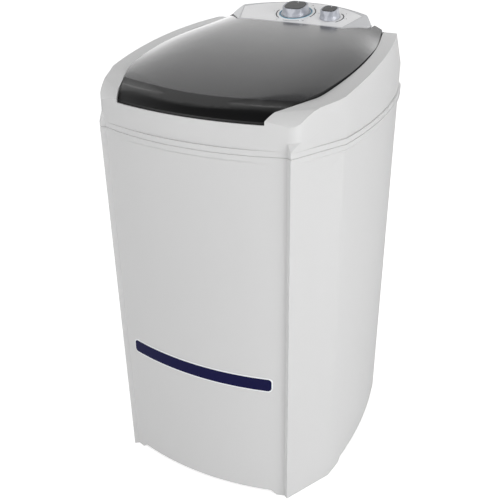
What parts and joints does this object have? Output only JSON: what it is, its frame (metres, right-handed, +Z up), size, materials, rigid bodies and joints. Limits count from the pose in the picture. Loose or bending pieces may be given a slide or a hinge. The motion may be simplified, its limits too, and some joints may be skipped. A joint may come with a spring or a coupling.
{
  "type": "washing machine, semi-automatic",
  "caption": "Semi-automatic single-tub washing machine with a bowed pale cabinet, smoked domed lid, rear console with two knobs, and a belt-driven agitator inside",
  "frame": {"origin": "on the floor, in the middle of the body's width and depth", "axes": "+X to the machine's right-hand side as seen from the front, +Y to the back, +Z up"},
  "size_m": [0.5718, 0.648, 1.0479],
  "materials": {
    "pale_body": "satin",
    "smoked_lid": "gloss",
    "console_grey": "satin",
    "fascia_white": "satin",
    "dial_blue": "gloss",
    "knob_grey": "satin",
    "knob_dark": "gloss",
    "navy_trim": "gloss",
    "trim_silver": "gloss",
    "tub_white": "satin",
    "agitator_blue": "satin",
    "black_plastic": "matte",
    "grey_plastic": "matte",
    "rubber_black": "matte",
    "zinc_steel": "satin",
    "painted_frame": "satin",
    "bright_shaft": "polished",
    "cast_alloy": "cast",
    "core_steel": "satin",
    "copper_wire": "satin",
    "bronze_bush": "satin",
    "braided_black": "matte"
  },
  "bodies": {
    "machine": {"cabinet": "pale_body", "foot_pads": "rubber_black", "base_guard": "grey_plastic", "case_screws": "zinc_steel", "trim_bezel": "trim_silver", "trim_strip": "navy_trim", "wash_tub": "tub_white", "drain_grille": "grey_plastic", "filter_guide": "grey_plastic", "top_cover": "pale_body", "hinge_pins": "bright_shaft", "lid_bumpers": "rubber_black", "console": "console_grey", "console_fascia": "fascia_white", "dial_ring": "dial_blue", "support_plate": "painted_frame", "frame_bolts": "zinc_steel", "frame_nuts": "zinc_steel", "bearing_housing": "cast_alloy", "shaft_bushes": "bronze_bush", "shaft_seal": "rubber_black", "drive_belt": "rubber_black", "motor_housing": "painted_frame", "motor_end_caps": "cast_alloy", "stator_core": "core_steel", "windings": "copper_wire", "motor_bearings": "bright_shaft", "rubber_mounts": "rubber_black", "capacitor": "grey_plastic", "capacitor_clip": "black_plastic", "drain_cup": "grey_plastic", "drain_hose": "rubber_black", "hose_clamps": "zinc_steel", "drain_outlet": "grey_plastic", "cable_gland": "black_plastic", "water_inlet": "grey_plastic", "inlet_pipe": "grey_plastic", "wiring_loom": "braided_black", "loom_clips": "black_plastic", "timer_switch": "black_plastic", "selector_switch": "black_plastic"},
    "lid": {"lid": "smoked_lid"},
    "agitator_drive": {"agitator": "agitator_blue", "agitator_screw": "zinc_steel", "agitator_cap": "agitator_blue", "drive_shaft": "bright_shaft", "driven_pulley": "cast_alloy", "shaft_nut": "zinc_steel", "thrust_washer": "bronze_bush"},
    "motor_drive": {"rotor": "core_steel", "motor_shaft": "bright_shaft", "motor_fan": "black_plastic", "motor_pulley": "cast_alloy"},
    "timer_control": {"timer_knob": "knob_grey", "timer_insert": "knob_dark", "timer_spindle": "bright_shaft"},
    "selector_control": {"selector_knob": "knob_grey", "selector_insert": "knob_dark", "selector_spindle": "bright_shaft"},
    "lint_filter": {"lint_filter": "agitator_blue"}
  },
  "joints": [
    {"name": "lid_hinge", "type": "hinge", "parent": "machine", "child": "lid", "pos_m": [0, 0.247, 0.984], "axis": [-1, 0, 0], "range_deg": [0, 95]},
    {"name": "agitator_spin", "type": "hinge", "parent": "machine", "child": "agitator_drive", "pos_m": [0, -0.025, 0.35], "axis": [0, 0, 1], "continuous": true},
    {"name": "motor_spin", "type": "hinge", "parent": "machine", "child": "motor_drive", "pos_m": [0, 0.16, 0.246], "axis": [0, 0, 1], "continuous": true},
    {"name": "timer_turn", "type": "hinge", "parent": "machine", "child": "timer_control", "pos_m": [-0.0096, 0.22667, 1.02468], "axis": [0, -0.2079, 0.9781], "range_deg": [0, 300]},
    {"name": "selector_turn", "type": "hinge", "parent": "machine", "child": "selector_control", "pos_m": [0.082, 0.21591, 1.0224], "axis": [0, -0.2079, 0.9781], "range_deg": [0, 135]},
    {"name": "filter_lift", "type": "slide", "parent": "machine", "child": "lint_filter", "axis": [0, 0, 1], "range_m": [0, 0.1]}
  ],
  "couplings": [
    {"joint": "agitator_spin", "follows": "motor_spin", "ratio": 0.22374}
  ]
}
